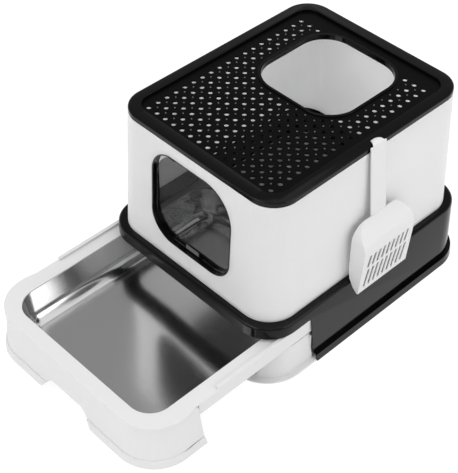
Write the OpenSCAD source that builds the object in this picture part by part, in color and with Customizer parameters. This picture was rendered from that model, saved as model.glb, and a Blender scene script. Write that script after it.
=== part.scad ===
// Drawer litter box: a white hood on a black base, a perforated lid with a
// rounded top entry, a smoked front flap and a pull-out drawer with a steel tray.
// Origin: on the floor under the middle of the lid. The front faces -Y, up is +Z.
// The drawer is drawn pulled out, and the scoop hangs over the right edge of the lid.

/* [Base] */
// Height of the ledge that carries the hood
ledge_z = 129.9; // [127:0.1:134]
// Width of the housing at its top edge
housing_w = 408.4; // [406:0.2:412]
// Length of the housing at its top edge
housing_l = 506; // [504:0.5:512]
// Corner radius of the housing
housing_r = 60; // [56:1:66]
// Outward lean of the housing panels, degrees
housing_draft = 2; // [1.4:0.1:3]
// Wall of the housing
housing_wall = 2.4; // [2:0.1:3]
// Radius of the ledge's outer edge
ledge_round = 5.6; // [3:0.2:8]
// Height of the drawer's header under the ledge
header_h = 22.9; // [18:0.1:26]
// Width of the ledge beside the hood
ledge_side = 12.5; // [11:0.1:14]
// Width of the ledge in front of the hood and behind it
ledge_end = 13; // [11:0.1:15]
// Distance from the hood's outer face in to the well, at the sides
well_side = 12.7; // [10:0.1:18]
// Distance from the hood's outer face in to the well, in front and behind
well_end = 14; // [10:0.1:20]
// Height of the black foot flange
flange_h = 15; // [10:0.5:20]
// Step of the foot flange out from the panel
flange_step = 8; // [6:0.2:9]
// Set-back of the side panels behind the front of the housing
panel_setback = 111; // [100:1:116]
// Forward lean of the parting line between the panels and the drawer, degrees
part_lean = 5; // [0:0.5:6]
// Extra set-back of the foot flange behind the panels
flange_setback = 1; // [0:0.5:4]

/* [Pan] */
// Gap between the floor and the pan, filled by the rubber feet
foot_gap = 2; // [1:0.5:4]
// Thickness of the pan's plate
plate_t = 4; // [3:0.5:5]
// Reach of the plate in front of the housing
plate_reach = 10; // [8:0.5:16]
// Reach of the plate beside the housing
plate_out = 9.3; // [6:0.1:15]
// Wall of the pan
pan_wall = 2.4; // [2:0.1:3]
// Gap between the top of the pan's front bow and the drawer's band
bow_gap = 5.9; // [4.5:0.1:24]
// Height of the sill that the drawer passes over
sill_top = 12; // [9:0.5:24]
// Distance from the housing's top edge in to the pan's side walls
pan_gap = 11.2; // [10:0.1:13]
// Thickness of a rail's tread
rail_t = 2.6; // [1.5:0.1:4]

/* [Hood] */
// Height of the hood above the ledge
hood_h = 247.7; // [240:0.1:252]
// Inward lean of the hood's walls, degrees
hood_draft = 2.8; // [2.6:0.05:3]
// Corner radius of the hood at its foot
hood_r = 56.5; // [54:0.5:60]
// Wall of the hood
hood_wall = 2.6; // [2:0.1:3.4]

/* [Front entry] */
// Width of the entry
entry_w = 188; // [160:0.2:200]
// Height of the entry
entry_h = 182.6; // [150:0.2:190]
// Height of the sill above the ledge
entry_rise = 35.2; // [20:0.2:40]
// Sideways place of the entry's middle
entry_x = 1; // [-10:0.5:10]
// Radius of the upper left corner
entry_r_ul = 49; // [40:1:60]
// Radius of the upper right corner
entry_r_ur = 64; // [40:1:70]
// Radius of the lower left corner
entry_r_ll = 52; // [30:1:70]
// Radius of the lower right corner
entry_r_lr = 45; // [30:1:60]
// Thickness of the black frame around the entry
frame_t = 2.4; // [1.6:0.2:3.2]
// Width of the frame's rim behind the wall
frame_rim = 7; // [4:0.5:9]
// Depth from the foot of the hood's front face back to the hinge line
flap_setback = 20; // [19.5:0.5:24]
// Thickness of the flap
flap_t = 2.4; // [2:0.2:4]
// Gap between the flap and the frame
flap_gap = 1.6; // [1.2:0.1:3]
// Drop of the hinge line below the top of the entry
hinge_drop = 6.6; // [6:0.2:9]
// Diameter of the hinge rod
rod_d = 3; // [2.5:0.1:4]

/* [Lid] */
// Overhang of the lid beyond the hood's top edge, at the sides
lid_side = 1.7146; // [1:0.1:4]
// Overhang of the lid beyond the hood's top edge, in front and behind
lid_end = 0.1146; // [0.1:0.1:2.5]
// Corner radius of the lid
lid_r = 48; // [44:0.5:56]
// Width of the raised border at the sides
border_w = 20.5; // [16:0.5:22]
// Height of the border above the perforated deck
border_rise = 4.6; // [2:0.2:8]
// Height of the skirt around the lid
skirt_h = 10.6; // [8:0.2:16]
// Radius of the skirt's top edge
lid_round = 3; // [1:0.2:4]
// Wall of the lid
lid_wall = 2.4; // [2:0.1:3]
// Pitch of the holes
hole_pitch = 20; // [16:0.5:24]
// Diameter of a hole
hole_d = 8.2; // [5:0.1:10]
// Distance from the deck's side edges to the outer columns of holes
hole_side = 18.4; // [10:0.1:30]
// Distance from the deck's front edge to the first row of holes
hole_front = 10.8; // [9:0.1:20]
// Distance from the deck's rear edge to the last row of holes
hole_rear = 34.8; // [9:0.1:50]

/* [Top entry] */
// Width of the top entry
hatch_w = 191; // [150:1:200]
// Length of the top entry
hatch_l = 192; // [150:1:200]
// Distance from the lid's rear edge to the top entry
hatch_back = 46; // [40:0.5:80]
// Corner radius of the top entry
hatch_r = 55; // [40:1:70]
// Width of the lip around the top entry
lip_w = 5; // [3:0.5:8]
// Height of the lip above the deck
lip_rise = 2.4; // [1:0.1:4]
// Depth of the lip's collar below the deck
lip_drop = 6; // [3:0.5:12]

/* [Drawer] */
// Distance that the drawer is pulled out
pull_out = 254; // [200:1:256]
// Gap between the drawer's ridge and the header
rim_gap = 2.4; // [1.5:0.1:6]
// Thickness of the drawer's top face
rim_t = 2.6; // [2:0.1:3.2]
// Step of the rim's front wings out from the band
wing_step = 4.2; // [2:0.1:6]
// Height of the band along the drawer's sides
band_h = 27.1; // [23:0.1:30]
// Wall of the band
band_wall = 2.4; // [2:0.1:3]
// Height of the ridge along the rim's outer edge
ridge_h = 5.6; // [2:0.2:6]
// Width of the ridge
ridge_w = 6; // [4:0.5:8]
// Overhang of the rim over the front panel
rim_over = 3; // [2:0.2:4]
// Depth of the rim's turned-down edge
rim_lip = 5; // [3:0.2:8]
// Width of the rim beside the tray's mouth
rim_side = 28.3; // [27:0.1:36]
// Width of the rim behind the tray's mouth
rim_rear = 27; // [26:0.5:44]
// Corner radius of the tray's mouth
mouth_r = 42; // [30:1:54]
// Width of the rim in front of the tray's mouth
rim_front = 26; // [22:0.5:32]
// Wall of the front panel
front_wall = 2.4; // [2:0.1:3]
// Outward lean of the front panel, degrees
front_draft = 4.8; // [3:0.1:5.4]
// Height of the flared hem of the front panel
hem_h = 15.4; // [10:0.2:20]
// Step of the hem out from the front panel
hem_step = 2; // [1:0.2:3]
// Flare of the hem from its top to its foot
hem_flare = 2.6; // [1:0.2:4]
// Width of the finger pull at its foot
pull_w = 128; // [80:1:160]
// Width of the finger pull at its top
pull_top_w = 78; // [50:1:120]
// Height of the finger pull
pull_h = 31; // [20:1:40]
// Width of the slot under the rim
slot_w = 34; // [20:1:60]
// Height of the slot under the rim
slot_h = 2.4; // [1.5:0.1:4]
// Gap between the tub and the pan's side walls
tub_gap = 6.6; // [5.6:0.1:10]
// Inward lean of the tub's sides, from their top to the floor
tub_lean = 17; // [4:0.5:18]
// Wall of the tub
tub_wall = 2.4; // [2:0.1:3]
// Thickness of a glide pad under the tub's flange
pad_t = 1.2; // [0.8:0.1:2]
// Gap between the tray and the tub's floor
tray_gap = 1.8; // [1:0.1:12]

/* [Steel tray] */
// Thickness of the steel
steel_t = 1; // [0.8:0.1:1.5]
// Depth of the tray
tray_depth = 59; // [40:1:60]
// Radius between the tray's floor and walls
tray_fillet = 24; // [12:1:28]
// Lean of the tray's walls, degrees
tray_draft = 12; // [6:0.5:16]
// Width of the tray's flat flange
tray_flange = 7.5; // [5:0.5:8]

/* [Scoop] */
// Width of the scoop's bowl
bowl_w = 124; // [100:1:130]
// Height of the scoop's bowl
bowl_h = 136; // [120:1:142]
// Depth of the scoop's bowl
bowl_d = 32; // [24:1:36]
// Width of the scoop's handle
grip_w = 36; // [28:1:42]
// Depth of the handle's channel
grip_d = 7; // [5:0.5:9]
// Wall of the scoop
scoop_wall = 2.4; // [2:0.1:3]
// Number of slots across the bowl
slot_count = 9; // [7:1:10]
// Width of a slot in the bowl
bowl_slot_w = 5.6; // [3:0.1:6.5]
// Lean of the slots, degrees
slot_lean = 7; // [0:1:10]

/* [Hidden] */

black = [0.09, 0.09, 0.10];
white = [0.90, 0.91, 0.92];
eps = 0.02;
corner_fn = 64;
seat = 0.3;

// Widths and lengths from the housing inwards. The band of the drawer is as wide as the
// housing's inside under the ledge, and the panels lean away from it.
hood_w = housing_w - 2 * ledge_side;
hood_l = housing_l - 2 * ledge_end;
hood_lean = hood_h * tan(hood_draft);
well_w = hood_w - 2 * well_side;
well_l = hood_l - 2 * well_end;
lid_w = hood_w - 2 * hood_lean + 2 * lid_side;
lid_l = hood_l - 2 * hood_lean + 2 * lid_end;
plate_w = housing_w + 2 * plate_out;
pan_w = housing_w - 2 * pan_gap;
band_w = housing_w - 2 * housing_wall;
wing_w = band_w + 2 * wing_step;
mouth_w = band_w - 2 * rim_side;
tub_w = pan_w - 2 * (pan_wall + tub_gap);
tub_flange_t = 1.5;

// Heights from the header down to the tub's floor
rim_z = ledge_z - header_h - rim_gap - ridge_h;
rim_low = rim_z - rim_t;
band_low = rim_z - band_h;
bow_top = band_low - bow_gap;
tub_top = band_low - seat;
pad_top = tub_top - tub_flange_t;
rail_top = pad_top - pad_t - seat;
wall_top = rail_top - rail_t;
flange_z = rim_low - steel_t - 0.2;
tub_floor = flange_z - tray_depth - tray_gap - tub_wall;

// Base
housing_in_z = ledge_z - housing_wall;
panel_front_y = -housing_l / 2 + panel_setback;
part_slope = tan(part_lean);
plate_inset = housing_wall + 2;
flange_front_y = panel_front_y + flange_setback;
panel_foot_z = foot_gap + flange_h;
panel_rise = ledge_z - ledge_round - panel_foot_z;
panel_lean = panel_rise * tan(housing_draft);
boss_x = housing_w / 2 + 0.6 * panel_lean - housing_wall - 2.8;
header_z = ledge_z - header_h;
well_r = housing_r - (housing_w - well_w) / 2 + 12;
plate_top = foot_gap + plate_t;
pan_r = 58;
rear_r = housing_r - 4;
bow_w = housing_w + 1.6;
bow_lean = 5.6;
bow_r = 66;
bow_front = housing_l / 2 - 1;
pan_back_y = housing_l / 2 - 5;
boss_front = 30;
boss_rear = 101;
boss_y0 = panel_front_y + boss_front;
boss_y1 = housing_l / 2 - boss_rear;
foot_side = 46.2;
foot_front = 41;
foot_rear = 48;
foot_x = housing_w / 2 - foot_side;
foot_y0 = -housing_l / 2 + foot_front;
foot_y1 = housing_l / 2 - foot_rear;

// Hood
hood_z0 = ledge_z;
hood_z1 = ledge_z + hood_h;
neck_z = hood_z1 + seat + lid_wall - skirt_h - seat;
neck_gap = 0.5;
neck_t = 2.2;
neck_w = lid_w - 2 * (lid_wall + neck_gap);
neck_l = lid_l - 2 * (lid_wall + neck_gap);
neck_r = lid_r - lid_wall - neck_gap;
entry_z0 = ledge_z + entry_rise;
entry_z1 = entry_z0 + entry_h;
frame_gap = 0.1;
flap_y = -hood_l / 2 + flap_setback;
frame_back_y = flap_y + flap_t / 2 + 1.4;
hinge_z = entry_z1 - hinge_drop;
knuckle_r = 3.4;
flap_corner_more = 12;
ear_w = 5;
ear_gap = 0.8;
knuckle_x0 = entry_x - entry_w / 2 + entry_r_ul - 4;
knuckle_x1 = entry_x + entry_w / 2 - entry_r_ur + 4;
magnet_w = 30;

// Lid
lid_top = hood_z1 + seat + lid_wall;
deck_top = lid_top - border_rise;
skirt_z = lid_top - skirt_h;
deck_t = 2.4;
deck_w = lid_w - 2 * border_w - 2 * lid_wall;
deck_l = lid_l - 2 * (border_w + 2.3) - 2 * lid_wall;
deck_r = lid_r - border_w;
hatch_y = lid_l / 2 - hatch_back - hatch_l / 2;
hole_y0 = hole_front - deck_l / 2;
hole_cols = 1 + floor((deck_w - 2 * hole_side) / hole_pitch + eps);
hole_rows = 1 + floor((deck_l - hole_front - hole_rear) / hole_pitch + eps);
clip_end = 118;
clip_y = lid_l / 2 - clip_end;
clip_l = 24;

// Drawer
front_y = -housing_l / 2 - 3;
back_y = housing_l / 2 - 9;
mouth_l = back_y - front_y - rim_front - rim_rear;
mouth_y = front_y + rim_front + mouth_l / 2;
panel_w = wing_w - 2 * rim_over;
panel_y = front_y + rim_over;
wing_r = 68;
panel_back_y = panel_front_y - 2;
rim_back_y = panel_back_y - 2 - rim_z * part_slope;
band_front_y = panel_back_y - band_low * part_slope + 0.6;
ridge_front_y = panel_front_y + 34;
hem_back_y = flange_front_y - 2;
hem_z0 = plate_top + 0.6;
hem_z1 = hem_z0 + hem_h;
front_top = rim_low - seat;
front_lean = (front_top - hem_z1) * tan(front_draft);
tub_front_y = panel_y + 3;
tub_back_y = back_y - 1;
tub_l = tub_back_y - tub_front_y;
tub_y = (tub_back_y + tub_front_y) / 2;
tub_r = 50;
flange_w = band_w - 6;
pad_l = 30;
pad_rear = 113;
pad_pitch = 100;
boss_r = 4;
screw_rise = 24;
screw_z = tub_floor + screw_rise;
screw_in = 64;
screw_x = tub_w / 2 - screw_in;
tub_slope = tub_lean / (tub_top - tub_floor);
tub_screw_y = tub_front_y + tub_slope * (tub_top - screw_z);
boss_start = boss_r * tub_slope + seat;
boss_end = tub_screw_y - panel_y + (front_top - screw_z) * tan(front_draft) - front_wall + 1;
screw_head = tub_wall + 3.2 * tub_slope + seat + 2.3;
buffer_r = 6;
buffer_rise = 22;
buffer_z = tub_floor + buffer_rise;
rim_clip_front = 120;
rim_clip_rear = 157;
rim_clip_ys = [front_y + rim_front + rim_clip_front, back_y - rim_rear - rim_clip_rear];

// Scoop
scoop_x = lid_w / 2 + 1.8;
scoop_y = 4;
scoop_lip_z = ledge_z - 19;
bowl_top_z = scoop_lip_z + bowl_h;
grip_out = 15;
bowl_open_x = scoop_x + grip_out;

// A rounded rectangle with true arcs at its corners
module rounded_rect(w, l, r) {
    square([w, l - 2 * r], center = true);
    square([w - 2 * r, l], center = true);
    for (sx = [-1, 1], sy = [-1, 1])
        translate([sx * (w / 2 - r), sy * (l / 2 - r)])
            circle(r, $fn = 96);
}

// Places a child at the centres of the four corner radii
module at_corners(w, l, r) {
    for (sx = [-1, 1], sy = [-1, 1])
        translate([sx * (w / 2 - r), sy * (l / 2 - r), 0])
            children();
}

// A rounded box whose size at z0 is w by l, and that widens by grow on each side at z1
module drafted_box(w, l, r, z0, z1, grow) {
    hull()
        at_corners(w, l, r)
            translate([0, 0, z0])
                cylinder(h = z1 - z0, r1 = r, r2 = r + grow, $fn = corner_fn);
}

// A rounded box made from one half profile turned about each corner
module turned_box(w, l, r, profile) {
    hull()
        at_corners(w, l, r)
            rotate_extrude($fn = corner_fn)
                polygon(profile);
}

// An outline from y0 back to y1 that is square in front and rounded behind
module rear_outline(w, y0, y1, r) {
    translate([-w / 2, y0])
        square([w, y1 - y0 - r]);
    translate([-w / 2 + r, y1 - 2 * r])
        square([w - 2 * r, 2 * r]);
    for (sx = [-1, 1])
        translate([sx * (w / 2 - r), y1 - r])
            circle(r, $fn = 96);
}

// A vertical ring between two rounded rectangles
module ring(w, l, r, wall, z0, z1) {
    translate([0, 0, z0])
        linear_extrude(z1 - z0)
            difference() {
                rounded_rect(w, l, r);
                rounded_rect(w - 2 * wall, l - 2 * wall, r - wall);
            }
}

// A block between two corners
module block(a, b) {
    translate(a)
        cube([b[0] - a[0], b[1] - a[1], b[2] - a[2]]);
}

// Mirrors its children to the left side as well
module both_sides() {
    children();
    mirror([1, 0, 0])
        children();
}

// ---- Base ----------------------------------------------------------------

// Everything ahead of a parting line that starts at y on the floor and leans forwards
module ahead_of(y, top) {
    rotate([90, 0, 90])
        linear_extrude(2 * housing_w, center = true)
            polygon([[-housing_l, -1], [y + part_slope, -1], [y - top * part_slope, top],
                     [-housing_l, top]]);
}

// Everything behind such a line
module behind(y, z0, top) {
    rotate([90, 0, 90])
        linear_extrude(2 * housing_w, center = true)
            polygon([[y - z0 * part_slope, z0], [housing_l, z0], [housing_l, top],
                     [y - top * part_slope, top]]);
}

// Outer or inner form of the housing panels, shrunk by inset
module housing_form(inset, top, round_r) {
    r = housing_r - inset;
    steps = 5;
    turned_box(housing_w - 2 * inset, housing_l - 2 * inset, r, concat(
        [[0, panel_foot_z - eps], [r + panel_lean, panel_foot_z - eps]],
        [for (i = [0:steps]) let (a = 90 * i / steps)
            [r - round_r * (1 - cos(a)), top - round_r * (1 - sin(a))]],
        [[0, top]]));
}

// Outer or inner form of the foot flange
module flange_form(inset, z0, z1) {
    w = housing_w + 2 * (panel_lean + flange_step) - 2 * inset;
    l = housing_l + 2 * (panel_lean + flange_step) - 2 * inset;
    r = housing_r + panel_lean + flange_step - inset;
    drafted_box(w, l, r, z0, z1, -1.6);
}

// The hood's locating lip stands just inside the hood wall
module locating_lip() {
    gap = 0.8;
    w = hood_w - 2 * (hood_wall + gap);
    l = hood_l - 2 * (hood_wall + gap);
    ring(w, l, hood_r - hood_wall - gap, 2.2, ledge_z - eps, ledge_z + 5);
}

module base_housing() {
    color(black)
        difference() {
            union() {
                difference() {
                    housing_form(0, ledge_z, ledge_round);
                    housing_form(housing_wall, housing_in_z, 2);
                }
                difference() {
                    flange_form(0, foot_gap, panel_foot_z);
                    flange_form(housing_wall + 0.4, foot_gap - 1, panel_foot_z - 2.4);
                    ahead_of(flange_front_y, header_z);
                    translate([0, 0, foot_gap - 1])
                        linear_extrude(ledge_z)
                            rounded_rect(housing_w + 2 * (panel_lean - housing_wall),
                                         housing_l + 2 * (panel_lean - housing_wall),
                                         housing_r + panel_lean - housing_wall);
                }
                ring(well_w + 4.4, well_l + 4.4, well_r + 2.2, 2.2, header_z, housing_in_z + eps);
                locating_lip();
                housing_bosses();
            }
            translate([0, 0, header_z - 1])
                linear_extrude(header_h + 8)
                    rounded_rect(well_w, well_l, well_r);
            ahead_of(panel_front_y, header_z);
            for (p = boss_points())
                translate([p[0], p[1], 0])
                    cylinder(h = 34, d = 3, $fn = 32);
        }
}

function boss_points() =
    [for (sx = [-1, 1], y = [boss_y0, (boss_y0 + boss_y1) / 2, boss_y1]) [sx * boss_x, y]];

// Screw bosses between the panels and the pan's side walls
module housing_bosses() {
    for (p = boss_points())
        translate([p[0], p[1], plate_top + seat])
            cylinder(h = 38, r = boss_r, $fn = 32);
}

// Outline of the pan's plate: full width in front, inside the flange behind
module plate_outline() {
    front = housing_l / 2 + plate_reach;
    intersection() {
        rounded_rect(plate_w, 2 * front, 78);
        translate([-plate_w, -front])
            square([2 * plate_w, front + flange_front_y - 1]);
    }
    grown = panel_lean + flange_step - plate_inset;
    inner_w = housing_w + 2 * grown;
    inner_l = housing_l + 2 * grown;
    intersection() {
        rounded_rect(inner_w, inner_l, housing_r + grown);
        translate([-inner_w, flange_front_y - 2])
            square([2 * inner_w, inner_l]);
    }
}

// The bow at each side of the drawer, back to the parting line
module pan_bow() {
    intersection() {
        difference() {
            drafted_box(bow_w, 2 * bow_front, bow_r, plate_top - 1, bow_top, -bow_lean);
            drafted_box(bow_w - 2 * pan_wall, 2 * (bow_front - pan_wall), bow_r - pan_wall,
                        plate_top - 2, bow_top + 1, -bow_lean);
        }
        ahead_of(panel_front_y - 1, bow_top);
    }
}

module base_pan() {
    color(white)
        difference() {
            union() {
                translate([0, 0, foot_gap])
                    linear_extrude(plate_t)
                        plate_outline();
                pan_bow();
                translate([0, 0, plate_top - 1])
                    linear_extrude(wall_top - plate_top + 1)
                        difference() {
                            rear_outline(pan_w, panel_front_y - 8, pan_back_y, pan_r);
                            rear_outline(pan_w - 2 * pan_wall, panel_front_y - 9, pan_back_y - pan_wall,
                                         pan_r - pan_wall);
                        }
                both_sides()
                    block([pan_w / 2 - pan_wall, panel_front_y - 8, plate_top - 1],
                          [bow_w / 2 - 2, panel_front_y - 5, wall_top - 4]);
            }
            block([-tub_w / 2 - 5, -housing_l, sill_top],
                  [tub_w / 2 + 5, panel_front_y - 3, bow_top + 9]);
            for (p = boss_points())
                translate([p[0], p[1], 0])
                    cylinder(h = 9, d = 3.6, $fn = 32);
        }
}

module drawer_rails() {
    y0 = panel_front_y + 4;
    y1 = pan_back_y - pan_r - 2;
    inner = pan_w / 2 - pan_wall;
    color([0.55, 0.56, 0.58])
        both_sides()
            translate([0, y1, 0])
                rotate([90, 0, 0])
                    linear_extrude(y1 - y0)
                        polygon([[inner - 4, rail_top], [inner - 4, wall_top],
                                 [inner - 1.6, wall_top], [inner - 1.6, wall_top - 8],
                                 [inner - 0.1, wall_top - 8], [inner - 0.1, wall_top],
                                 [pan_w / 2 + 0.1, wall_top], [pan_w / 2 + 0.1, wall_top - 8],
                                 [pan_w / 2 + 1.5, wall_top - 8], [pan_w / 2 + 1.5, rail_top]]);
}

module rubber_feet() {
    color([0.2, 0.2, 0.21])
        for (p = [[0, 0], [foot_x, foot_y0], [-foot_x, foot_y0], [foot_x, foot_y1], [-foot_x, foot_y1]])
            translate([p[0], p[1], 0])
                cylinder(h = foot_gap, r1 = 10, r2 = 11, $fn = 48);
}

module housing_screws() {
    color([0.75, 0.76, 0.78])
        for (p = boss_points())
            translate([p[0], p[1], foot_gap - 1.4]) {
                cylinder(h = 1.4, d = 6.4, $fn = 32);
                cylinder(h = 24, d = 2.9, $fn = 32);
            }
}

// Rubber buffers on the rear wall, which stop the closing drawer
module drawer_buffers() {
    color([0.2, 0.2, 0.21])
        for (sx = [-1, 1])
            translate([sx * screw_x, pan_back_y - pan_wall, buffer_z])
                rotate([90, 0, 0])
                    cylinder(h = pan_back_y - pan_wall - seat - tub_back_y
                             + tub_slope * (tub_top - buffer_z - buffer_r), r = buffer_r, $fn = 48);
}

// ---- Hood ----------------------------------------------------------------

// The hood's outer form, moved inwards by inset
module hood_form(inset, z0, z1) {
    lean0 = (z0 - hood_z0) * tan(hood_draft);
    lean1 = (z1 - z0) * tan(hood_draft);
    drafted_box(hood_w - 2 * (inset + lean0), hood_l - 2 * (inset + lean0),
                hood_r - inset - lean0, z0, z1, -lean1);
}

// The entry's outline, moved outwards by grow; its four corners have their own radii
module entry_outline(grow, more_top) {
    w = entry_w + 2 * grow;
    h = entry_h + 2 * grow;
    corners = [[-1, 1, entry_r_ul + grow + more_top], [1, 1, entry_r_ur + grow + more_top],
               [-1, -1, entry_r_ll + grow], [1, -1, entry_r_lr + grow]];
    translate([entry_x, (entry_z0 + entry_z1) / 2])
        difference() {
            square([w, h], center = true);
            for (c = corners)
                translate([c[0] * (w / 2 - c[2]), c[1] * (h / 2 - c[2])])
                    difference() {
                        translate([c[0] > 0 ? 0 : -c[2] - 1, c[1] > 0 ? 0 : -c[2] - 1])
                            square(c[2] + 1);
                        circle(c[2], $fn = 96);
                    }
        }
}

// Extrudes an upright outline from y0 back to y1
module upright(y0, y1) {
    translate([0, y1, 0])
        rotate([90, 0, 0])
            linear_extrude(y1 - y0)
                children();
}

module hood_shell() {
    color(white)
        difference() {
            union() {
                difference() {
                    hood_form(0, hood_z0 + eps, neck_z);
                    hood_form(hood_wall, hood_z0 - 1, neck_z + 1);
                }
                hood_neck();
            }
            upright(-hood_l, 0)
                entry_outline(0, 0);
        }
}

// The neck that stands up inside the lid's skirt
module hood_neck() {
    difference() {
        union() {
            hood_form(0.4, neck_z - 4, neck_z);
            translate([0, 0, neck_z - eps])
                linear_extrude(hood_z1 - neck_z + eps)
                    rounded_rect(neck_w, neck_l, neck_r);
        }
        translate([0, 0, neck_z - 5])
            linear_extrude(hood_h)
                rounded_rect(neck_w - 2 * neck_t, neck_l - 2 * neck_t, neck_r - neck_t);
    }
}

module door_frame() {
    rim_front_y = -hood_l / 2;
    color(black)
        difference() {
            union() {
                intersection() {
                    upright(rim_front_y, frame_back_y)
                        entry_outline(-frame_gap, 0);
                    hood_form(0.5, hood_z0 + 1, neck_z);
                }
                difference() {
                    intersection() {
                        upright(rim_front_y, frame_back_y)
                            entry_outline(frame_rim, 0);
                        hood_form(hood_wall + 0.1, hood_z0 + 1, neck_z - 5);
                    }
                    hood_form(hood_wall + 2.5, hood_z0, neck_z);
                }
            }
            difference() {
                upright(-hood_l, 0)
                    entry_outline(-frame_gap - frame_t, 0);
                hinge_ears();
            }
            translate([0, flap_y, hinge_z])
                rotate([0, 90, 0])
                    cylinder(h = 2 * entry_w, d = rod_d + 3, center = true, $fn = 48);
        }
}

// Two lugs that hang from the top of the frame and carry the hinge bushes
module hinge_ears() {
    for (x = [knuckle_x0 - ear_w, knuckle_x1])
        translate([x, 0, 0]) {
            translate([0, flap_y, hinge_z])
                rotate([0, 90, 0])
                    cylinder(h = ear_w, r = 5, $fn = 48);
            block([0, flap_y - 5, hinge_z], [ear_w, frame_back_y, entry_z1]);
        }
}

module hinge_bushes() {
    color([0.85, 0.85, 0.82])
        for (x = [knuckle_x0 - ear_w, knuckle_x1])
            translate([x, flap_y, hinge_z])
                rotate([0, 90, 0])
                    difference() {
                        cylinder(h = ear_w, d = rod_d + 3, $fn = 48);
                        translate([0, 0, -1])
                            cylinder(h = ear_w + 2, d = rod_d + 0.1, $fn = 48);
                    }
}

// A magnet on the sill holds the flap closed
module sill_magnet() {
    y = flap_y + flap_t / 2 - (hinge_z - entry_z0) * tan(hood_draft) + 0.3;
    color([0.35, 0.35, 0.37])
        block([entry_x - magnet_w / 2, y, entry_z0 + frame_t + frame_gap],
              [entry_x + magnet_w / 2, y + 1.2, entry_z0 + frame_t + 1.2]);
}

// ---- Door ----------------------------------------------------------------

// Leans the flap about its hinge line, so that it lies along the hood's front wall
module leaning() {
    translate([0, flap_y, hinge_z])
        rotate([-hood_draft, 0, 0])
            translate([0, -flap_y, -hinge_z])
                children();
}

module door_flap() {
    color([0.32, 0.33, 0.35])
        leaning()
        difference() {
            union() {
                upright(flap_y - flap_t / 2, flap_y + flap_t / 2)
                    difference() {
                        entry_outline(-frame_gap - frame_t - flap_gap, flap_corner_more);
                        translate([-entry_w, hinge_z + knuckle_r - 0.6])
                            square([2 * entry_w, 20]);
                    }
                translate([knuckle_x0 + ear_gap, flap_y, hinge_z])
                    rotate([0, 90, 0])
                        cylinder(h = knuckle_x1 - knuckle_x0 - 2 * ear_gap, r = knuckle_r, $fn = 48);
            }
            for (x = [knuckle_x0 - ear_w - ear_gap - 30, knuckle_x1 - ear_gap])
                block([x, flap_y - 5, hinge_z - 7.5],
                      [x + ear_w + 2 * ear_gap + 30, flap_y + 5, hinge_z + 12]);
            translate([-entry_w, flap_y, hinge_z])
                rotate([0, 90, 0])
                    cylinder(h = 2 * entry_w, d = rod_d, $fn = 48);
        }
}

module hinge_rod() {
    x0 = knuckle_x0 - ear_w + 0.2;
    color([0.78, 0.79, 0.80])
        translate([x0, flap_y, hinge_z])
            rotate([0, 90, 0])
                cylinder(h = knuckle_x1 - knuckle_x0 + 2 * ear_w - 0.4, d = rod_d, $fn = 48);
}

module flap_magnet() {
    low = entry_z0 + frame_t + frame_gap + flap_gap;
    color([0.35, 0.35, 0.37])
        leaning()
            block([entry_x - magnet_w / 2, flap_y - flap_t / 2 - 1.4, low + 1],
                  [entry_x + magnet_w / 2, flap_y - flap_t / 2, low + 9]);
}

// ---- Lid -----------------------------------------------------------------

module lid_frame() {
    steps = 4;
    r = lid_r;
    color(black)
        difference() {
            turned_box(lid_w, lid_l, r, concat(
                [[0, skirt_z], [r, skirt_z]],
                [for (i = [0:steps]) let (a = 90 * i / steps)
                    [r - lid_round * (1 - cos(a)), lid_top - lid_round * (1 - sin(a))]],
                [[0, lid_top]]));
            translate([0, 0, skirt_z - 1])
                linear_extrude(skirt_h + 1 - lid_wall)
                    difference() {
                        rounded_rect(lid_w - 2 * lid_wall, lid_l - 2 * lid_wall, lid_r - lid_wall);
                        rounded_rect(deck_w + 4 * lid_wall, deck_l + 4 * lid_wall, deck_r + lid_wall);
                    }
            translate([0, 0, skirt_z - 1])
                linear_extrude(skirt_h + 3)
                    rounded_rect(deck_w, deck_l, deck_r - lid_wall);
            translate([0, 0, deck_top - deck_t])
                linear_extrude(border_rise + deck_t + 1)
                    rounded_rect(deck_w + 2 * lid_wall, deck_l + 2 * lid_wall, deck_r);
        }
}

// True where a hole at x, y would come too near the top entry
function near_hatch(x, y) =
    let (dx = max(abs(x) - (hatch_w / 2 - hatch_r), 0),
         dy = max(abs(y - hatch_y) - (hatch_l / 2 - hatch_r), 0))
    norm([dx, dy]) < hatch_r + lip_w + hole_d / 2;

module lid_deck() {
    color(black)
        translate([0, 0, deck_top - deck_t])
            linear_extrude(deck_t)
                difference() {
                    rounded_rect(deck_w + 2 * lid_wall - 0.2, deck_l + 2 * lid_wall - 0.2, deck_r);
                    translate([0, hatch_y])
                        rounded_rect(hatch_w + 4, hatch_l + 4, hatch_r + 2);
                    for (i = [0:hole_rows - 1], j = [0:hole_cols - 1]) {
                        x = (j - (hole_cols - 1) / 2) * hole_pitch;
                        y = hole_y0 + i * hole_pitch;
                        if (!near_hatch(x, y))
                            translate([x, y])
                                circle(d = hole_d, $fn = 32);
                    }
                }
}

module entry_lip() {
    color(black)
        translate([0, hatch_y, 0]) {
            ring(hatch_w + 4, hatch_l + 4, hatch_r + 2, 2, deck_top - deck_t - lip_drop, deck_top + eps);
            ring(hatch_w + 2 * lip_w, hatch_l + 2 * lip_w, hatch_r + lip_w, lip_w,
                 deck_top, deck_top + lip_rise);
        }
}

// Ribs on the lid that grip the inside of the hood's top edge
module lid_clips() {
    inner = deck_w / 2 + 2 * lid_wall;
    color([0.16, 0.16, 0.17])
        both_sides()
            for (y = [-clip_y, clip_y])
                block([inner, y - clip_l / 2, skirt_z],
                      [neck_w / 2 - neck_t - seat, y + clip_l / 2, hood_z1 + seat]);
}

// ---- Drawer --------------------------------------------------------------

// Everything of the drawer is drawn closed and moved out by this
module pulled() {
    translate([0, -pull_out, 0])
        children();
}

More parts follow.
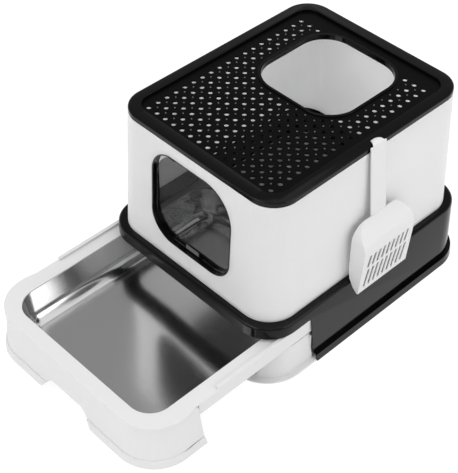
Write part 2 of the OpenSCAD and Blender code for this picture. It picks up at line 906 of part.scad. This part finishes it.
// Places children at the screws between the tub and the front panel, pointing forwards
module front_points() {
    for (x = [-screw_x, 0, screw_x])
        translate([x, tub_screw_y, screw_z])
            rotate([90, 0, 0])
                children();
}

module drawer_tub() {
    color(white)
        pulled()
            difference() {
                union() {
                    translate([0, tub_y, 0])
                        drafted_box(tub_w - 2 * tub_lean, tub_l - 2 * tub_lean, tub_r, tub_floor, tub_top,
                                    tub_lean);
                    translate([0, tub_y, pad_top])
                        linear_extrude(tub_flange_t)
                            rounded_rect(flange_w, tub_l, tub_r + 12);
                }
                translate([0, tub_y, 0])
                    drafted_box(tub_w - 2 * (tub_lean + tub_wall), tub_l - 2 * (tub_lean + tub_wall),
                                tub_r - tub_wall, tub_floor + tub_wall, tub_top + 1, tub_lean);
                front_points()
                    translate([0, 0, -tub_wall - 3])
                        cylinder(h = tub_wall + 6, d = 3.2, $fn = 32);
            }
}

// Outline of the finger pull in the hem: a rounded trapezoid
module pull_outline() {
    r = 9;
    top = hem_z0 + pull_h;
    polygon([[-pull_w / 2, hem_z0 - 1], [pull_w / 2, hem_z0 - 1], [pull_w / 2, hem_z0],
             [pull_top_w / 2 + r, top - r], [pull_top_w / 2 + r / 3, top - r / 4],
             [pull_top_w / 2 - r / 2, top],
             [-pull_top_w / 2 + r / 2, top], [-pull_top_w / 2 - r / 3, top - r / 4],
             [-pull_top_w / 2 - r, top - r], [-pull_w / 2, hem_z0]]);
}

module drawer_front() {
    w = panel_w + 2 * front_lean;
    half_l = -panel_y + front_lean;
    r = wing_r - rim_over + front_lean;
    hem_w = w + 2 * (hem_step + hem_flare);
    hem_l = half_l + hem_step + hem_flare;
    color(white)
        pulled()
            difference() {
                union() {
                    difference() {
                        drafted_box(w, 2 * half_l, r, hem_z1 - eps, front_top, -front_lean);
                        drafted_box(w - 2 * front_wall, 2 * (half_l - front_wall), r - front_wall,
                                    hem_z1 - 1, front_top + 1, -front_lean);
                        behind(panel_back_y, -1, ledge_z);
                    }
                    difference() {
                        drafted_box(hem_w, 2 * hem_l, r + hem_step + hem_flare, hem_z0, hem_z1, -hem_flare);
                        drafted_box(hem_w - 2 * front_wall, 2 * (hem_l - front_wall),
                                    r + hem_step + hem_flare - front_wall, hem_z0 - 1, hem_z1 - front_wall,
                                    -hem_flare);
                        translate([0, 0, hem_z0])
                            linear_extrude(hem_h + 2)
                                rounded_rect(w - 2 * front_wall, 2 * (half_l - front_wall), r - front_wall);
                        behind(hem_back_y, -1, ledge_z);
                        behind(panel_back_y, panel_foot_z - 0.6, ledge_z);
                    }
                    front_points()
                        translate([0, 0, boss_start])
                            cylinder(h = boss_end - boss_start, r = boss_r, $fn = 32);
                }
                upright(-housing_l, panel_y + 10)
                    pull_outline();
                block([-slot_w / 2, -housing_l, rim_low - rim_lip - slot_h],
                      [slot_w / 2, panel_y + 4, rim_low - rim_lip]);
                front_points()
                    cylinder(h = boss_end - 1, d = 2.9, $fn = 32);
            }
}

module front_screws() {
    color([0.75, 0.76, 0.78])
        pulled()
            front_points()
                translate([0, 0, -screw_head]) {
                    cylinder(h = screw_head + boss_end - 2, d = 2.8, $fn = 32);
                    cylinder(h = 1.4, d = 6.4, $fn = 32);
                }
}

module glide_pads() {
    color([0.2, 0.2, 0.21])
        pulled()
            both_sides()
                for (i = [0, 1]) {
                    y = tub_back_y - pad_rear - i * pad_pitch;
                    block([pan_w / 2 - 6, y, pad_top - pad_t], [pan_w / 2, y + pad_l, pad_top]);
                }
}

// Half width of the rim along its wing: full at the front, drawn in to the band behind
function wing_half(t) = wing_w / 2 - (wing_w - band_w) / 2 * (1 - cos(90 * t));

// Outer outline of the drawer's rim
module rim_outline() {
    steps = 8;
    y0 = front_y + wing_r;
    y1 = rim_back_y;
    side = [for (i = [0:steps]) [wing_half(i / steps), y0 + (y1 - y0) * i / steps]];
    left = [for (i = [steps:-1:0]) [-side[i][0], side[i][1]]];
    polygon(concat(side, left));
    intersection() {
        translate([0, y0 + 10])
            rounded_rect(wing_w, 2 * wing_r + 20, wing_r);
        translate([-wing_w, -housing_l])
            square([2 * wing_w, housing_l + y0 + 1]);
    }
    rear_outline(band_w, y1 - 10, back_y, rear_r);
}

module drawer_rim() {
    y1 = rim_back_y;
    color(white)
        pulled()
            difference() {
                union() {
                    translate([0, 0, rim_low])
                        linear_extrude(rim_t)
                            rim_outline();
                    translate([0, 0, rim_z - rim_lip - rim_t])
                        linear_extrude(rim_lip + 1)
                            difference() {
                                intersection() {
                                    rim_outline();
                                    translate([-wing_w, -housing_l])
                                        square([2 * wing_w, housing_l + y1]);
                                }
                                translate([0, front_y + wing_r + 12.2])
                                    rounded_rect(wing_w - 4.4, 2 * wing_r + 20, wing_r - 2.2);
                                translate([-wing_w / 2 + 2.2, front_y + wing_r])
                                    square([wing_w - 4.4, housing_l]);
                            }
                    translate([0, 0, band_low])
                        linear_extrude(rim_low - band_low + eps)
                            difference() {
                                rear_outline(band_w, band_front_y, back_y, rear_r);
                                rear_outline(band_w - 2 * band_wall, band_front_y - 1, back_y - band_wall,
                                             rear_r - band_wall);
                            }
                    translate([0, 0, rim_z - eps])
                        linear_extrude(ridge_h + eps)
                            difference() {
                                rear_outline(band_w, ridge_front_y, back_y, rear_r);
                                rear_outline(band_w - 2 * ridge_w, ridge_front_y - 1, back_y - ridge_w,
                                             rear_r - ridge_w);
                            }
                }
                translate([0, mouth_y, rim_low - 9])
                    linear_extrude(20)
                        rounded_rect(mouth_w, mouth_l, mouth_r);
            }
}

module rim_clips() {
    edge = mouth_w / 2 + tray_flange;
    color([0.16, 0.16, 0.17])
        pulled()
            both_sides()
                for (y = rim_clip_ys) {
                    block([edge + 0.4, y - 9, flange_z - 2], [edge + 3, y + 9, rim_low]);
                    block([edge - 4, y - 9, flange_z - 2], [edge + 1, y + 9, flange_z - 0.1]);
                }
}

// Half profile of the tray about one corner, grown outwards by the steel
function tray_profile(grow, top) =
    let (a0 = tray_draft,
         floor_z = flange_z + steel_t - tray_depth,
         fillet = tray_fillet + grow,
         mouth = mouth_r + 0.5,
         wall_r = mouth - (tray_depth - tray_fillet) * tan(a0),
         cr = wall_r - tray_fillet * cos(a0) + grow * 0,
         cz = floor_z + tray_fillet,
         steps = 7)
    concat([[0, floor_z - grow]],
           [for (i = [0:steps]) let (a = -90 + (90 - a0) * i / steps)
               [cr + fillet * cos(a), cz + fillet * sin(a)]],
           [[mouth + grow, top], [0, top]]);

module steel_tray() {
    color([0.66, 0.67, 0.69])
        pulled()
            translate([0, mouth_y, 0])
                difference() {
                    union() {
                        turned_box(mouth_w + 1, mouth_l + 1, mouth_r + 0.5,
                                   tray_profile(steel_t, flange_z + steel_t));
                        translate([0, 0, flange_z])
                            linear_extrude(steel_t)
                                rounded_rect(mouth_w + 2 * tray_flange, mouth_l + 2 * tray_flange,
                                             mouth_r + tray_flange);
                    }
                    turned_box(mouth_w + 1, mouth_l + 1, mouth_r + 0.5,
                               tray_profile(0, flange_z + steel_t + 0.5));
                }
}

// ---- Scoop ---------------------------------------------------------------

// Side profile of the bowl's outer skin: a shoulder, a slotted back and a tapering side
module bowl_side(inset) {
    x0 = bowl_open_x;
    lip_x = x0 + bowl_d - 8;
    back_x = x0 + bowl_d;
    top = bowl_top_z;
    polygon([[x0 - 9 * (inset > 0 ? 1 : 0), top - inset * 0.4], [x0 + 3 - inset, top - inset],
             [x0 + 16 - inset, top - 12 - inset * 0.7], [back_x - 4 - inset, top - 27 - inset * 0.4],
             [back_x - inset, top - 40], [lip_x - inset, scoop_lip_z - (inset > 0 ? 3 : 0)],
             [lip_x - 3 - inset, scoop_lip_z - (inset > 0 ? 3 : 0)],
             [lip_x - 12 - inset, scoop_lip_z + 8 * (inset > 0 ? 0 : 1)],
             [x0 + 3 - inset, scoop_lip_z + 24 * (inset > 0 ? 0 : 1)],
             [x0 - 9 * (inset > 0 ? 1 : 0), scoop_lip_z + 42 * (inset > 0 ? 0 : 1)]]);
}

// Front outline of the bowl: wide rounded shoulders and a nearly square lip
module bowl_front(inset) {
    w = bowl_w - 2 * inset;
    top_r = 30;
    h = bowl_h - inset;
    translate([0, scoop_lip_z]) {
        translate([-w / 2, 0])
            square([w, h - top_r]);
        translate([-w / 2 + top_r, h - top_r - 1])
            square([w - 2 * top_r, top_r + 1]);
        for (sy = [-1, 1])
            translate([sy * (w / 2 - top_r), h - top_r])
                circle(top_r, $fn = 96);
    }
}

// Extrudes an outline drawn in Y and Z along X
module along_x(x0, x1) {
    translate([x0, 0, 0])
        rotate([90, 0, 90])
            linear_extrude(x1 - x0)
                children();
}

// Extrudes an outline drawn in X and Z across the width w
module across(w) {
    translate([0, w / 2, 0])
        rotate([90, 0, 0])
            linear_extrude(w)
                children();
}

// Two staggered rows of leaning slots through the bowl's back
module bowl_slots() {
    pitch = (bowl_w - 20) / slot_count;
    rows = [[10, 42], [58, 28]];
    for (row = [0:len(rows) - 1], i = [0:slot_count - 1]) {
        y = (i - (slot_count - 1) / 2) * pitch - (row == 0 ? pitch / 4 : pitch / 6);
        z = scoop_lip_z + rows[row][0];
        len_z = rows[row][1];
        translate([y, z])
            rotate(-slot_lean)
                translate([-bowl_slot_w / 2, 0])
                    square([bowl_slot_w, len_z]);
    }
}

// The channelled handle, leaning out from the lid's edge to the bowl
module grip_side(depth0, depth1) {
    polygon([[scoop_x + depth0, lid_top + 1], [scoop_x + depth1, lid_top + 1],
             [bowl_open_x + depth1, bowl_top_z - 10], [bowl_open_x + depth0, bowl_top_z - 10]]);
}

// The tapered hook over the lid's border
module hook_side() {
    t = 2.6;
    z = lid_top + 0.5;
    polygon([[scoop_x + t, lid_top - 3], [scoop_x + t, z + 0.8], [scoop_x + t - 1.2, z + 3],
             [scoop_x - 3.5, z + 5], [scoop_x - 8, z + 3.9], [scoop_x - 12, z + 1.2],
             [scoop_x - 11.2, z], [scoop_x - 7.6, z + 1.5], [scoop_x - 3.8, z + 2.5],
             [scoop_x - 0.6, z + 1.6], [scoop_x, z + 0.2], [scoop_x, lid_top - 3]]);
}

module scoop() {
    color(white)
        translate([0, scoop_y, 0])
        difference() {
            union() {
                difference() {
                    intersection() {
                        across(bowl_w)
                            bowl_side(0);
                        along_x(bowl_open_x - 1, bowl_open_x + bowl_d + 1)
                            bowl_front(0);
                    }
                    intersection() {
                        across(bowl_w)
                            bowl_side(scoop_wall);
                        along_x(bowl_open_x - 20, bowl_open_x + bowl_d + 1)
                            translate([0, -4])
                                bowl_front(scoop_wall);
                    }
                }
                difference() {
                    across(grip_w)
                        grip_side(-0.2, grip_d - 4.4);
                    across(grip_w - 2 * scoop_wall)
                        grip_side(-1, grip_d - 4.4 - scoop_wall);
                }
                intersection() {
                    across(grip_w)
                        hook_side();
                    translate([0, 0, lid_top - 4])
                        linear_extrude(20)
                            polygon([[scoop_x + 3, -grip_w / 2 + 4], [scoop_x - 12.4, -4.5],
                                     [scoop_x - 12.4, 4.5], [scoop_x + 3, grip_w / 2 - 4]]);
                }
            }
            along_x(bowl_open_x + 10, bowl_open_x + bowl_d + 4)
                bowl_slots();
        }
}

base_housing();
base_pan();
drawer_rails();
rubber_feet();
housing_screws();
drawer_buffers();
hood_shell();
door_frame();
hinge_bushes();
sill_magnet();
door_flap();
hinge_rod();
flap_magnet();
lid_frame();
lid_deck();
entry_lip();
lid_clips();
drawer_tub();
drawer_front();
front_screws();
glide_pads();
drawer_rim();
rim_clips();
steel_tray();
scoop();
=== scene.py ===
# Drawer litter box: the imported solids, dressed for the camera.
# The sections follow the box as it is put together, from the floor up.
import bmesh
import bpy
from math import radians, sqrt
from mathutils import Euler, Matrix, Vector


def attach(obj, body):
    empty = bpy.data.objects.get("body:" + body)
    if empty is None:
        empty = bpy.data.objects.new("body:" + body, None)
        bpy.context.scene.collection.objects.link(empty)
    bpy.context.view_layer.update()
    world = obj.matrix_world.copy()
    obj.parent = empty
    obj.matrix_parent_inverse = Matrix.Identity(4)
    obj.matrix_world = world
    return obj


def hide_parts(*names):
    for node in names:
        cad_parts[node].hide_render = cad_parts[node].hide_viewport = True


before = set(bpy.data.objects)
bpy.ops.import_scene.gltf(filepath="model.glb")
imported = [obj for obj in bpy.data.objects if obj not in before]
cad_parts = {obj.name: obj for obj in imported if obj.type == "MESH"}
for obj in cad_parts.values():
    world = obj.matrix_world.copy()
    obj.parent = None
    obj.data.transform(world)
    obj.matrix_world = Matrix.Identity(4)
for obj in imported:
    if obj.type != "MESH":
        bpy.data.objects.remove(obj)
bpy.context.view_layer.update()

# ---- Camera ----------------------------------------------------------------
# It stands in front of the right-hand corner, above the lid, and looks down
# on the box from some 2.3 m away through a long lens. Angles are in degrees.
eye = Vector((1.11055, -1.22308, 1.63616))
dip, turn, roll = 43.840, 45.832, 0.295
sensor_width = 36.0
focal_pixels, photo_pixels = 1249.66, 473.0


def placed(name, data):
    """A new object of the scene that shows the given data."""
    thing = bpy.data.objects.new(name, data)
    bpy.context.scene.collection.objects.link(thing)
    return thing


camera_data = bpy.data.cameras.new("camera")
camera_data.sensor_width = sensor_width
camera_data.lens = sensor_width * focal_pixels / photo_pixels
camera_data.clip_end = 60.0
camera = placed("camera", camera_data)
heading = Euler((radians(90.0 - dip), 0.0, radians(turn))).to_matrix().to_4x4()
camera.matrix_world = Matrix.Translation(eye) @ heading @ Matrix.Rotation(radians(roll), 4, "Z")
bpy.context.scene.camera = camera
bpy.context.scene.view_settings.view_transform = "Standard"

# ---- Studio ----------------------------------------------------------------
# A seamless pale floor under a white surround, lit by wide lamps in front, at
# the right and above. Mirrors see the surround grey, and darker towards the
# top, so that the steel and the black deck read as in the photograph.
white_light = (1.0, 1.0, 1.0, 1.0)
surround_light, surround_seen = 0.79, 1.0
mirrored_grey = (0.8, 0.8, 0.8, 1.0)
mirrored_low, mirrored_high = 0.95, 0.4
dimming_from, dimming_to = 0.12, 0.62
floor_reach, floor_drop = 14.0, 0.0006
floor_glow, floor_glow_share = 1.08, 0.86


def nodes_of(name):
    """A new material with its nodes and links."""
    material = bpy.data.materials.new(name)
    material.use_nodes = True
    return material, material.node_tree.nodes, material.node_tree.links


def seen_as_white(nodes, links):
    """1 for camera, mirror and see-through rays, else 0."""
    path = nodes.new("ShaderNodeLightPath")
    first = nodes.new("ShaderNodeMath")
    first.operation = "MAXIMUM"
    links.new(path.outputs["Is Camera Ray"], first.inputs[0])
    links.new(path.outputs["Is Glossy Ray"], first.inputs[1])
    both = nodes.new("ShaderNodeMath")
    both.operation = "MAXIMUM"
    links.new(first.outputs[0], both.inputs[0])
    links.new(path.outputs["Is Transmission Ray"], both.inputs[1])
    return both.outputs[0]


def mixed(nodes, links, share, under, over):
    """The shader under, with the given share of the shader over it."""
    mix = nodes.new("ShaderNodeMixShader")
    links.new(share, mix.inputs[0])
    links.new(under.outputs[0], mix.inputs[1])
    links.new(over.outputs[0], mix.inputs[2])
    return mix


world = bpy.data.worlds.new("studio")
bpy.context.scene.world = world
world.use_nodes = True
world_nodes, world_links = world.node_tree.nodes, world.node_tree.links
lit = world_nodes["Background"]
lit.inputs["Color"].default_value = white_light
lit.inputs["Strength"].default_value = surround_light
seen = world_nodes.new("ShaderNodeBackground")
seen.inputs["Color"].default_value = white_light
seen.inputs["Strength"].default_value = surround_seen
direction = world_nodes.new("ShaderNodeTexCoord")
direction_parts = world_nodes.new("ShaderNodeSeparateXYZ")
world_links.new(direction.outputs["Generated"], direction_parts.inputs[0])
dimming = world_nodes.new("ShaderNodeMapRange")
dimming.interpolation_type = "SMOOTHSTEP"
dimming.inputs["From Min"].default_value = dimming_from
dimming.inputs["From Max"].default_value = dimming_to
dimming.inputs["To Min"].default_value = mirrored_low
dimming.inputs["To Max"].default_value = mirrored_high
world_links.new(direction_parts.outputs["Z"], dimming.inputs["Value"])
mirrored = world_nodes.new("ShaderNodeBackground")
mirrored.inputs["Color"].default_value = mirrored_grey
world_links.new(dimming.outputs["Result"], mirrored.inputs["Strength"])
mirror_rays = world_nodes.new("ShaderNodeLightPath").outputs["Is Glossy Ray"]
shown = mixed(world_nodes, world_links, mirror_rays, seen, mirrored)
shown_rays = seen_as_white(world_nodes, world_links)
surround = mixed(world_nodes, world_links, shown_rays, lit, shown)
world_links.new(surround.outputs[0], world_nodes["World Output"].inputs["Surface"])

floor_mesh = bpy.data.meshes.new("floor")
bm = bmesh.new()
bmesh.ops.create_grid(bm, x_segments=1, y_segments=1, size=floor_reach)
bmesh.ops.translate(bm, verts=bm.verts, vec=(0.0, 0.0, -floor_drop))
bm.to_mesh(floor_mesh)
bm.free()
floor = placed("floor", floor_mesh)
floor_material, floor_nodes, floor_links = nodes_of("pale_floor")
matt = floor_nodes["Principled BSDF"]
matt.inputs["Base Color"].default_value = (0.93, 0.93, 0.93, 1.0)
matt.inputs["Roughness"].default_value = 0.9
matt.inputs["Specular IOR Level"].default_value = 0.1
glow = floor_nodes.new("ShaderNodeEmission")
glow.inputs["Strength"].default_value = floor_glow
glow_share = floor_nodes.new("ShaderNodeMath")
glow_share.operation = "MULTIPLY"
glow_share.inputs[1].default_value = floor_glow_share
floor_links.new(seen_as_white(floor_nodes, floor_links), glow_share.inputs[0])
floor_look = mixed(floor_nodes, floor_links, glow_share.outputs[0], matt, glow)
floor_links.new(floor_look.outputs[0], floor_nodes["Material Output"].inputs["Surface"])
floor_mesh.materials.append(floor_material)


def soft_lamp(name, place, target, size, watts):
    """A rectangular lamp at a place, aimed at a target."""
    data = bpy.data.lights.new(name, "AREA")
    data.shape = "RECTANGLE"
    data.size, data.size_y = size
    data.energy = watts
    aim = (Vector(target) - Vector(place)).to_track_quat("-Z", "Y").to_matrix().to_4x4()
    placed(name, data).matrix_world = Matrix.Translation(place) @ aim


soft_lamp("front_lamp", (-0.3, -2.6, 2.1), (0.0, -0.1, 0.2), (2.2, 1.5), 33.0)
soft_lamp("right_lamp", (2.4, 0.6, 1.6), (0.0, 0.0, 0.2), (1.6, 1.6), 18.0)
soft_lamp("top_lamp", (0.5, 0.0, 2.9), (0.0, 0.0, 0.2), (3.8, 3.8), 30.0)

# ---- Floor pan -------------------------------------------------------------
# Injection-moulded white plastic: a flat plate with side walls and a low bow
# in front. Its corners are lightly rounded, as all moulded edges are.
weld_distance = 2e-6
flat_angle = 0.4
relief_depth = 0.0002
cheek_steps = 10


def merged(node, material, body, edge=0.0004, steps=2, sharp=32.0):
    """A copy of a CAD node with joined vertices, soft shading and rounded edges, in its place."""
    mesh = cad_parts[node].data.copy()
    bm = bmesh.new()
    bm.from_mesh(mesh)
    bmesh.ops.remove_doubles(bm, verts=bm.verts, dist=weld_distance)
    bmesh.ops.dissolve_limit(bm, angle_limit=radians(flat_angle), verts=bm.verts, edges=bm.edges)
    for face in bm.faces:
        face.smooth = True
    bm.to_mesh(mesh)
    bm.free()
    mesh.set_sharp_from_angle(angle=radians(sharp))
    mesh.materials.clear()
    mesh.materials.append(material)
    piece = placed(node + "_skin", mesh)
    if edge:
        bevel = piece.modifiers.new("edge", "BEVEL")
        bevel.width = edge
        bevel.segments = steps
        bevel.limit_method = "ANGLE"
        bevel.angle_limit = radians(sharp)
        bevel.harden_normals = True
    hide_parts(node)
    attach(piece, body)


def noise(nodes, links, place, scale, detail):
    """Soft random values over the surface."""
    texture = nodes.new("ShaderNodeTexNoise")
    texture.inputs["Scale"].default_value = scale
    texture.inputs["Detail"].default_value = detail
    links.new(place, texture.inputs["Vector"])
    return texture.outputs["Fac"]


def uneven_sheen(nodes, links, skin, values, low, high):
    """Roughness that runs between two levels with the given values."""
    sheen = nodes.new("ShaderNodeMapRange")
    sheen.inputs["To Min"].default_value = low
    sheen.inputs["To Max"].default_value = high
    links.new(values, sheen.inputs["Value"])
    links.new(sheen.outputs["Result"], skin.inputs["Roughness"])


def relief(nodes, links, skin, values, strength, depth):
    """Fine relief in the surface from the given values."""
    bump = nodes.new("ShaderNodeBump")
    bump.inputs["Strength"].default_value = strength
    bump.inputs["Distance"].default_value = depth
    links.new(values, bump.inputs["Height"])
    links.new(bump.outputs["Normal"], skin.inputs["Normal"])


def plastic(name, colour, rough, rough_span, grain, grain_scale, gloss=0.5, glow_depth=0.0):
    """Moulded plastic: fine grain in the surface and slow changes of its sheen."""
    material, nodes, links = nodes_of(name)
    skin = nodes["Principled BSDF"]
    skin.inputs["Base Color"].default_value = (*colour, 1.0)
    skin.inputs["IOR"].default_value = 1.5
    skin.inputs["Specular IOR Level"].default_value = gloss
    if glow_depth:
        skin.inputs["Subsurface Weight"].default_value = 1.0
        skin.inputs["Subsurface Radius"].default_value = (1.0, 1.0, 1.0)
        skin.inputs["Subsurface Scale"].default_value = glow_depth
    place = nodes.new("ShaderNodeTexCoord").outputs["Object"]
    slow = noise(nodes, links, place, scale=7.0, detail=3.0)
    uneven_sheen(nodes, links, skin, slow, rough - rough_span, rough + rough_span)
    fine = noise(nodes, links, place, scale=grain_scale, detail=2.0)
    relief(nodes, links, skin, fine, grain, relief_depth)
    return material


# Darker than the white of the record, about 0.82, because the lamps clip that. This darker copy
# of the hood's white plastic is also painted shade: it keeps the pan, the drawer and the scoop in
# their shade.
white = plastic("white_plastic", (0.62, 0.62, 0.62), rough=0.5, rough_span=0.05,
                grain=0.10, grain_scale=900.0, gloss=0.28)
merged("base_pan", white, "base")


def bow_cheeks():
    """The ends of the pan's bow, drawn in beside the drawer's leaning side walls."""
    # The bow's corner: its centre, its radius and wall at the foot, and its lean.
    centre_x, centre_y, radius, wall = 0.139, -0.186, 0.066, 0.0024
    foot, full_height, lean = 0.0050, 0.0655, 0.0056 / 0.061
    # A cheek runs from the outside in, under the drawer's side wall.
    outer_x, inner_x = 0.1895, 0.1700
    tub_half, tub_floor, tub_slope, gap = 0.167, 0.032, 0.0396 / 0.017, 0.002
    bm = bmesh.new()
    for side in (1, -1):
        rings = []
        for i in range(cheek_steps + 1):
            x = outer_x + (inner_x - outer_x) * i / cheek_steps
            top = min(full_height, tub_floor - gap + max(0.0, x - tub_half - gap) * tub_slope)
            ring = []
            for z, inset in ((foot, 0.0), (top, 0.0), (top, wall), (foot, wall)):
                bow = radius - lean * (z - foot) - inset
                y = centre_y - sqrt(bow ** 2 - (x - centre_x) ** 2)
                ring.append(bm.verts.new((side * x, y, z)))
            rings.append(ring)
        for first, second in zip(rings, rings[1:]):
            for k in range(4):
                after = (k + 1) % 4
                bm.faces.new((first[k], first[after], second[after], second[k]))
        bm.faces.new(rings[0])
        bm.faces.new(rings[-1])
    bmesh.ops.recalc_face_normals(bm, faces=bm.faces)
    mesh = bpy.data.meshes.new("bow_cheeks")
    bm.to_mesh(mesh)
    bm.free()
    mesh.materials.append(white)
    cheeks = placed("bow_cheeks", mesh)
    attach(cheeks, "base")


bow_cheeks()

# ---- Base housing ----------------------------------------------------------
# Gloss black plastic: side and rear panels, the ledge that the hood stands on
# and the header over the drawer, polished so that it mirrors the room.
black = plastic("black_plastic", (0.0018, 0.0018, 0.0018), rough=0.13, rough_span=0.04,
                grain=0.04, grain_scale=700.0, gloss=0.2)
merged("base_housing", black, "base", edge=0.0006, steps=3)

# ---- Rails, feet, screws and buffers ---------------------------------------
# Nylon rails clip over the pan's side walls, rubber feet stick to the plate,
# screws hold the housing down and two rubber buffers stop the drawer.
nylon = plastic("grey_nylon", (0.42, 0.43, 0.44), rough=0.5, rough_span=0.06,
                grain=0.15, grain_scale=1200.0)
rubber = plastic("black_rubber", (0.035, 0.035, 0.037), rough=0.75, rough_span=0.08,
                 grain=0.3, grain_scale=1500.0)
merged("drawer_rails", nylon, "base")
merged("rubber_feet", rubber, "base")
merged("drawer_buffers", rubber, "base")


def metal(name, colour, rough, streak, stretch, smoother=0.05, rougher=0.07):
    """Bare metal with fine streaks along its grain and soft rolling marks."""
    material, nodes, links = nodes_of(name)
    skin = nodes["Principled BSDF"]
    skin.inputs["Base Color"].default_value = (*colour, 1.0)
    skin.inputs["Metallic"].default_value = 1.0
    place = nodes.new("ShaderNodeTexCoord")
    drawn_out = nodes.new("ShaderNodeMapping")
    drawn_out.inputs["Scale"].default_value = stretch
    links.new(place.outputs["Object"], drawn_out.inputs["Vector"])
    grain = noise(nodes, links, drawn_out.outputs["Vector"], scale=60.0, detail=4.0)
    uneven_sheen(nodes, links, skin, grain, rough - smoother, rough + rougher)
    relief(nodes, links, skin, grain, streak, relief_depth)
    return material


plated = metal("plated_screw", (0.72, 0.73, 0.74), rough=0.22, streak=0.05,
               stretch=(1.0, 1.0, 12.0))
merged("housing_screws", plated, "base", edge=0.0003)

# ---- Hood ------------------------------------------------------------------
# One drafted white shell, open above and below and thin enough to let a
# little light through. A black frame is clipped into its rounded front entry,
# with the bushes of the hinge, and a magnet sits in the sill.
hood_white = plastic("translucent_white_plastic", (0.86, 0.86, 0.86), rough=0.45,
                     rough_span=0.05, grain=0.10, grain_scale=900.0, gloss=0.3,
                     glow_depth=0.015)
merged("hood_shell", hood_white, "hood", edge=0.0005)
polished = plastic("polished_black_plastic", (0.002, 0.002, 0.002), rough=0.09,
                   rough_span=0.03, grain=0.03, grain_scale=700.0)
merged("door_frame", polished, "hood", edge=0.0004, steps=3)
merged("hinge_bushes", nylon, "hood", edge=0.0)
coated = plastic("coated_magnet", (0.10, 0.10, 0.105), rough=0.45, rough_span=0.05,
                 grain=0.1, grain_scale=1500.0)
merged("sill_magnet", coated, "hood", edge=0.0002)

# ---- Front flap ------------------------------------------------------------
# A polished sheet of smoked clear plastic hung on a steel rod, with a small
# magnet near its lower edge that holds it shut against the sill. Its IOR is
# below that of acrylic, 1.49, so that it mirrors less of the floor.
smoked, pane_nodes, pane_links = nodes_of("smoked_clear")
pane = pane_nodes["Principled BSDF"]
pane.inputs["Base Color"].default_value = (0.26, 0.26, 0.264, 1.0)
pane.inputs["Roughness"].default_value = 0.04
pane.inputs["IOR"].default_value = 1.17
pane.inputs["Transmission Weight"].default_value = 1.0
pane_place = pane_nodes.new("ShaderNodeTexCoord").outputs["Object"]
ripple = noise(pane_nodes, pane_links, pane_place, scale=14.0, detail=2.0)
relief(pane_nodes, pane_links, pane, ripple, strength=0.01, depth=0.0004)
merged("door_flap", smoked, "door", edge=0.0005)
merged("hinge_rod", plated, "door", edge=0.0003)
merged("flap_magnet", coated, "door", edge=0.0003)

# ---- Lid -------------------------------------------------------------------
# Gloss black: a raised border with a skirt, a perforated deck with a fine
# grain and low studs with a painted highlight, a lip round the top entry, and
# ribs that grip the hood from inside.
merged("lid_frame", black, "lid", edge=0.0006, steps=3)
deck_black = plastic("grained_black_plastic", (0.0018, 0.0018, 0.0018), rough=0.32,
                     rough_span=0.05, grain=0.12, grain_scale=900.0, gloss=0.07)
merged("lid_deck", deck_black, "lid", edge=0.0003)
merged("entry_lip", black, "lid", edge=0.0007, steps=3)
# The studs are coloured grey, lighter than the black deck: a painted highlight that stands in for
# the glints of the lamps on their tips.
stud_highlight_grey = plastic("stud_painted_highlight_plastic", (0.13, 0.13, 0.13), rough=0.3, rough_span=0.05,
                    grain=0.1, grain_scale=1500.0)


def lid_studs():
    """Low studs on the deck, one in the middle of every four holes."""
    pitch, columns, rows, first_row = 0.02, 14, 18, -0.182
    deck_top, radius, taper, height, sunk, sides = 0.3757, 0.0015, 0.55, 0.0012, 0.0001, 10
    # The top entry's middle, half sizes and corner radius, and the bare rim round it.
    hatch_y, half_x, half_y, corner, bare = 0.086, 0.0955, 0.096, 0.055, 0.009
    bm = bmesh.new()
    for column in range(columns):
        for row in range(rows):
            x = (column - (columns - 1) / 2) * pitch
            y = first_row + row * pitch
            dx = max(abs(x) - half_x + corner, 0.0)
            dy = max(abs(y - hatch_y) - half_y + corner, 0.0)
            if Vector((dx, dy)).length < corner + bare:
                continue
            stud = bmesh.ops.create_cone(bm, cap_ends=True, segments=sides, radius1=radius,
                                         radius2=radius * taper, depth=height)
            middle = (x, y, deck_top + height / 2 - sunk)
            bmesh.ops.translate(bm, verts=stud["verts"], vec=middle)
    for face in bm.faces:
        face.smooth = True
    mesh = bpy.data.meshes.new("lid_studs")
    bm.to_mesh(mesh)
    bm.free()
    # The studs' grey is a painted highlight.
    mesh.materials.append(stud_highlight_grey)
    studs = placed("lid_studs", mesh)
    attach(studs, "lid")


lid_studs()
dark = plastic("black_matt_plastic", (0.03, 0.03, 0.032), rough=0.5, rough_span=0.05,
               grain=0.15, grain_scale=1200.0)
merged("lid_clips", dark, "lid")

# ---- Drawer ----------------------------------------------------------------
# White mouldings: a tub with a flange that slides on the rails, a front panel
# with a finger pull, and a rim that clips over the steel tray.
merged("drawer_tub", white, "drawer")
merged("drawer_front", white, "drawer", edge=0.0006, steps=3)
merged("front_screws", plated, "drawer", edge=0.0003)
merged("glide_pads", nylon, "drawer")
merged("drawer_rim", white, "drawer", edge=0.0008, steps=3)
merged("rim_clips", dark, "drawer")

# ---- Steel tray ------------------------------------------------------------
# Deep-drawn from one stainless sheet: leaning walls, a wide fillet round the
# floor and a flat flange under the rim, with a satin rolled finish.
steel = metal("satin_steel", (0.68, 0.68, 0.68), rough=0.15, streak=0.04,
              stretch=(1.0, 14.0, 1.0))
merged("steel_tray", steel, "drawer", edge=0.0)

# ---- Scoop -----------------------------------------------------------------
# One white moulding: a slotted bowl, a channelled handle and a hook that
# hangs over the lid's border.
merged("scoop", white, "scoop", edge=0.0004)
